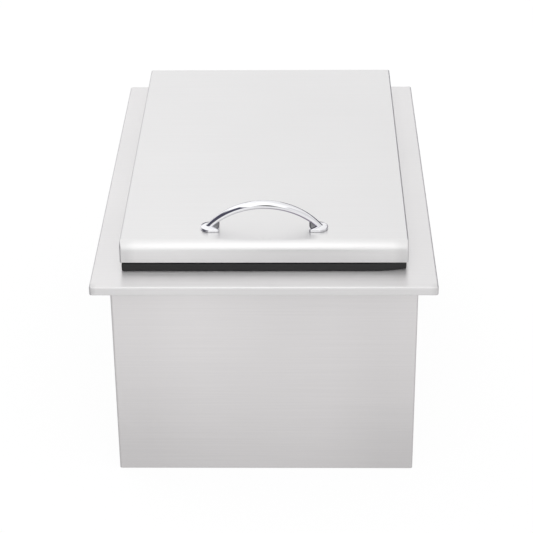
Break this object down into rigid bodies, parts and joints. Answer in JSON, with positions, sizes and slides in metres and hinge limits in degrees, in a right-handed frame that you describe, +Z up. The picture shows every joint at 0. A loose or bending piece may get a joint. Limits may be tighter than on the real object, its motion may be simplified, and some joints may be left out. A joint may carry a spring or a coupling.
{
  "type": "drop in ice bin",
  "caption": "Insulated stainless drop in ice bin: a tub hung by its flange, a hinged gasketed lid with an arched handle, and a drain with a lift out stopper.",
  "frame": {"origin": "middle of the flange's plan, level with the underside of the shell", "axes": "+Z up; the front, with the rounded lid edge and the handle, faces -Y, so the hinges are at +Y; +X is to the right seen from the front"},
  "size_m": [0.432, 0.635, 0.3658],
  "materials": {
    "brushed_sheet": "fine brushed stainless sheet",
    "tub_sheet": "satin stainless sheet",
    "handle_chrome": "polished chrome",
    "gasket_rubber": "matte black rubber",
    "stopper_rubber": "moulded black rubber",
    "washer_rubber": "black rubber",
    "insulation_foam": "rigid foam, cream",
    "drain_steel": "satin stainless",
    "nut_brass": "machined brass",
    "hinge_steel": "satin stainless",
    "fastener_steel": "stainless"
  },
  "bodies": {
    "bin": {"top_flange": "brushed_sheet", "outer_shell": "brushed_sheet", "inner_liner": "tub_sheet", "drain_washer_upper": "washer_rubber", "drain_washer_lower": "washer_rubber", "wall_insulation": "insulation_foam", "drain_body": "drain_steel", "drain_grate": "drain_steel", "drain_nut": "nut_brass", "hinge_fixed_leaf_left": "hinge_steel", "hinge_fixed_leaf_right": "hinge_steel", "hinge_pin_left": "hinge_steel", "hinge_pin_right": "hinge_steel", "hinge_flange_screw_left_left": "fastener_steel", "hinge_flange_screw_left_right": "fastener_steel", "hinge_flange_screw_right_left": "fastener_steel", "hinge_flange_screw_right_right": "fastener_steel", "hinge_flange_nut_left_left": "fastener_steel", "hinge_flange_nut_left_right": "fastener_steel", "hinge_flange_nut_right_left": "fastener_steel", "hinge_flange_nut_right_right": "fastener_steel"},
    "lid": {"lid_skin": "brushed_sheet", "lid_pan": "tub_sheet", "lid_insulation": "insulation_foam", "lid_gasket": "gasket_rubber", "lid_handle": "handle_chrome", "handle_plate": "fastener_steel", "handle_screw_left": "fastener_steel", "handle_screw_right": "fastener_steel", "hinge_backing_left": "fastener_steel", "hinge_backing_right": "fastener_steel", "hinge_moving_leaf_left": "hinge_steel", "hinge_moving_leaf_right": "hinge_steel", "hinge_lid_screw_left_left": "fastener_steel", "hinge_lid_screw_left_right": "fastener_steel", "hinge_lid_screw_right_left": "fastener_steel", "hinge_lid_screw_right_right": "fastener_steel"},
    "stopper": {"drain_stopper": "stopper_rubber"}
  },
  "joints": [
    {"name": "lid_hinge", "type": "hinge", "parent": "bin", "child": "lid", "pos_m": [0, 0.2918, 0.2906], "axis": [-1, 0, 0], "range_deg": [0, 95]},
    {"name": "stopper_lift", "type": "slide", "parent": "bin", "child": "stopper", "axis": [0, 0, 1], "range_m": [0, 0.06]}
  ]
}
